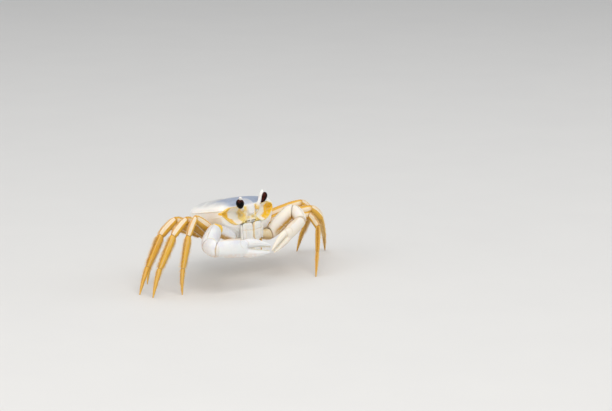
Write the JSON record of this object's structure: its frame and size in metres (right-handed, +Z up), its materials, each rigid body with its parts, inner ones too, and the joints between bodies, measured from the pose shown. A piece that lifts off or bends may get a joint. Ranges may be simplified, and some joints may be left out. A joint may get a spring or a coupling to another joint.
{
  "type": "ghost crab model",
  "caption": "Still, life-size ghost crab standing high on its walking legs, with raised stalked eyes and both claws held in front of a boxy carapace.",
  "frame": {"origin": "on the floor, under the middle of the whole crab's bounding box", "axes": "+X towards the crab's own left side, along the leg span; -Y the way the crab looks; +Z up"},
  "size_m": [0.1502, 0.073, 0.0491],
  "materials": {
    "shell": "satin, pale cream-white flanks and a lavender-grey back",
    "belly": "satin, warm white",
    "claw": "satin, white with yellow ridges",
    "leg": "satin, amber with whitish stripes and short hairs",
    "cornea": "wet gloss, near black",
    "eyestalk": "satin, white with a yellowish base"
  },
  "bodies": {
    "root": {"carapace": "shell", "sternum": "belly", "abdomen": "belly", "maxilliped_left": "belly", "eyestalk_left": "eyestalk", "eye_left": "cornea", "maxilliped_right": "belly", "eyestalk_right": "eyestalk", "eye_right": "cornea", "leg1_left_coxa": "leg", "leg1_left_merus": "leg", "leg1_left_carpus": "leg", "leg1_left_propodus": "leg", "leg1_left_dactyl": "leg", "leg2_left_coxa": "leg", "leg2_left_merus": "leg", "leg2_left_carpus": "leg", "leg2_left_propodus": "leg", "leg2_left_dactyl": "leg", "leg3_left_coxa": "leg", "leg3_left_merus": "leg", "leg3_left_carpus": "leg", "leg3_left_propodus": "leg", "leg3_left_dactyl": "leg", "leg4_left_coxa": "leg", "leg4_left_merus": "leg", "leg4_left_carpus": "leg", "leg4_left_propodus": "leg", "leg4_left_dactyl": "leg", "arm_left_coxa": "claw", "arm_left_merus": "claw", "arm_left_carpus": "claw", "arm_left_palm": "claw", "arm_left_finger": "claw", "leg1_right_coxa": "leg", "leg1_right_merus": "leg", "leg1_right_carpus": "leg", "leg1_right_propodus": "leg", "leg1_right_dactyl": "leg", "leg2_right_coxa": "leg", "leg2_right_merus": "leg", "leg2_right_carpus": "leg", "leg2_right_propodus": "leg", "leg2_right_dactyl": "leg", "leg3_right_coxa": "leg", "leg3_right_merus": "leg", "leg3_right_carpus": "leg", "leg3_right_propodus": "leg", "leg3_right_dactyl": "leg", "leg4_right_coxa": "leg", "leg4_right_merus": "leg", "leg4_right_carpus": "leg", "leg4_right_propodus": "leg", "leg4_right_dactyl": "leg", "arm_right_coxa": "claw", "arm_right_merus": "claw", "arm_right_carpus": "claw", "arm_right_palm": "claw", "arm_right_finger": "claw"}
  },
  "joints": []
}
